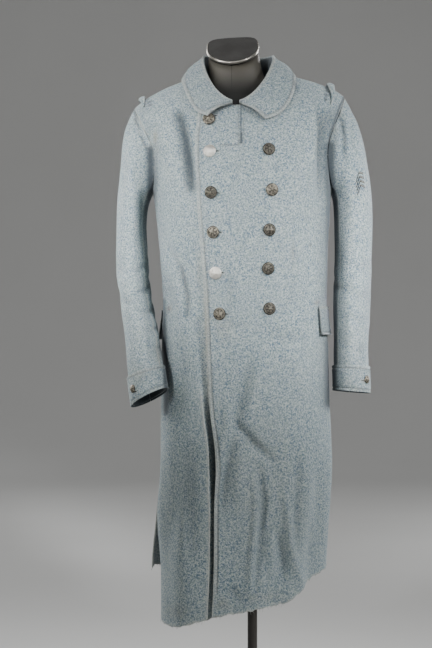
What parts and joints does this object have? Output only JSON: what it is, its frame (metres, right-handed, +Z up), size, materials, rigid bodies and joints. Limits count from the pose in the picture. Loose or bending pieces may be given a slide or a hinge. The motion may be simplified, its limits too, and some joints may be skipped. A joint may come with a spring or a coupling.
{
  "type": "military greatcoat on dress form stand",
  "caption": "Double-breasted wool greatcoat with turn-down collar, shoulder rolls, pocket flaps and plain cuffs, hung on a limbless bust on a pole and round base.",
  "frame": {"origin": "on the floor under the middle of the pole, at the centre of the base plate's underside", "axes": "+Z up, +X towards the wearer's left, +Y out of the coat's back, so the buttons face -Y"},
  "size_m": [0.5261, 0.38, 1.4925],
  "materials": {
    "blue_wool": "felted heathered wool, worn",
    "braid": "narrow woven braid",
    "aged_bronze": "darkened, worn on the dome",
    "white_metal": "dull white metal",
    "form_graphite": "semi-gloss graphite",
    "stand_paint": "satin black"
  },
  "bodies": {
    "root": {"front_left": "blue_wool", "front_right": "blue_wool", "back_left": "blue_wool", "back_right": "blue_wool", "collar": "blue_wool", "upper_sleeve_left": "blue_wool", "under_sleeve_left": "blue_wool", "cuff_left": "blue_wool", "upper_sleeve_right": "blue_wool", "under_sleeve_right": "blue_wool", "cuff_right": "blue_wool", "shoulder_roll_left": "blue_wool", "shoulder_roll_right": "blue_wool", "pocket_flap_left": "blue_wool", "pocket_flap_right": "blue_wool", "sleeve_chevron_1": "braid", "sleeve_chevron_2": "braid", "sleeve_chevron_3": "braid", "sleeve_chevron_4": "braid", "button_right_1": "aged_bronze", "button_right_2": "white_metal", "button_right_3": "aged_bronze", "button_right_4": "aged_bronze", "button_right_5": "white_metal", "button_right_6": "aged_bronze", "button_left_2": "aged_bronze", "button_left_3": "aged_bronze", "button_left_4": "aged_bronze", "button_left_5": "aged_bronze", "button_left_6": "aged_bronze", "cuff_button_left": "aged_bronze", "cuff_button_right": "aged_bronze", "form_bust": "form_graphite", "form_neck_cap": "form_graphite", "stand_pole": "stand_paint", "stand_base": "stand_paint"}
  },
  "joints": []
}
